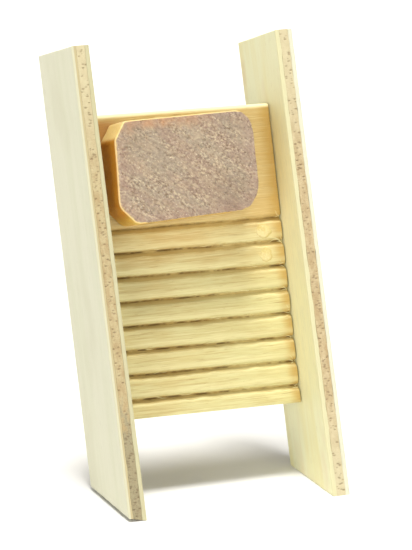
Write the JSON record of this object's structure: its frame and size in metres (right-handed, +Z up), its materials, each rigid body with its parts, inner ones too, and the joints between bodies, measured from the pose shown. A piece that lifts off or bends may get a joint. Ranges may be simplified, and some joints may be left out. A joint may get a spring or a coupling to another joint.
{
  "type": "washboard",
  "caption": "Dollhouse washboard in bare wood: plywood side rails, a ribbed rubbing board between them and a bar of soap glued on its flat top panel, leaning back on mitred feet.",
  "frame": {"origin": "bottom centre of the bounding box, on the surface that the two feet stand on", "axes": "+Z up, +X to the right of someone facing the ribs, -Y the front; the rails lean back towards +Y by 19.3 degrees"},
  "size_m": [0.0254, 0.0274, 0.0479],
  "materials": {
    "veneer": "bare pale face veneer, sanded, matt",
    "ply_core": "sawn edge of the core ply, open dark pores, matt",
    "board": "bare straw-coloured wood, milled, fuzzy at the groove edges",
    "soap": "honey-coloured bar with a rough mauve-brown face",
    "glue": "dried clear glue, slightly glossy"
  },
  "bodies": {
    "root": {"left_rail_outer_veneer": "veneer", "left_rail_core": "ply_core", "left_rail_inner_veneer": "veneer", "right_rail_inner_veneer": "veneer", "right_rail_core": "ply_core", "right_rail_outer_veneer": "veneer", "rub_board": "board", "soap_bar": "soap", "soap_glue_film": "glue", "left_end_glue": "glue", "right_end_glue": "glue", "upper_glue_smear": "glue", "lower_glue_smear": "glue"}
  },
  "joints": []
}
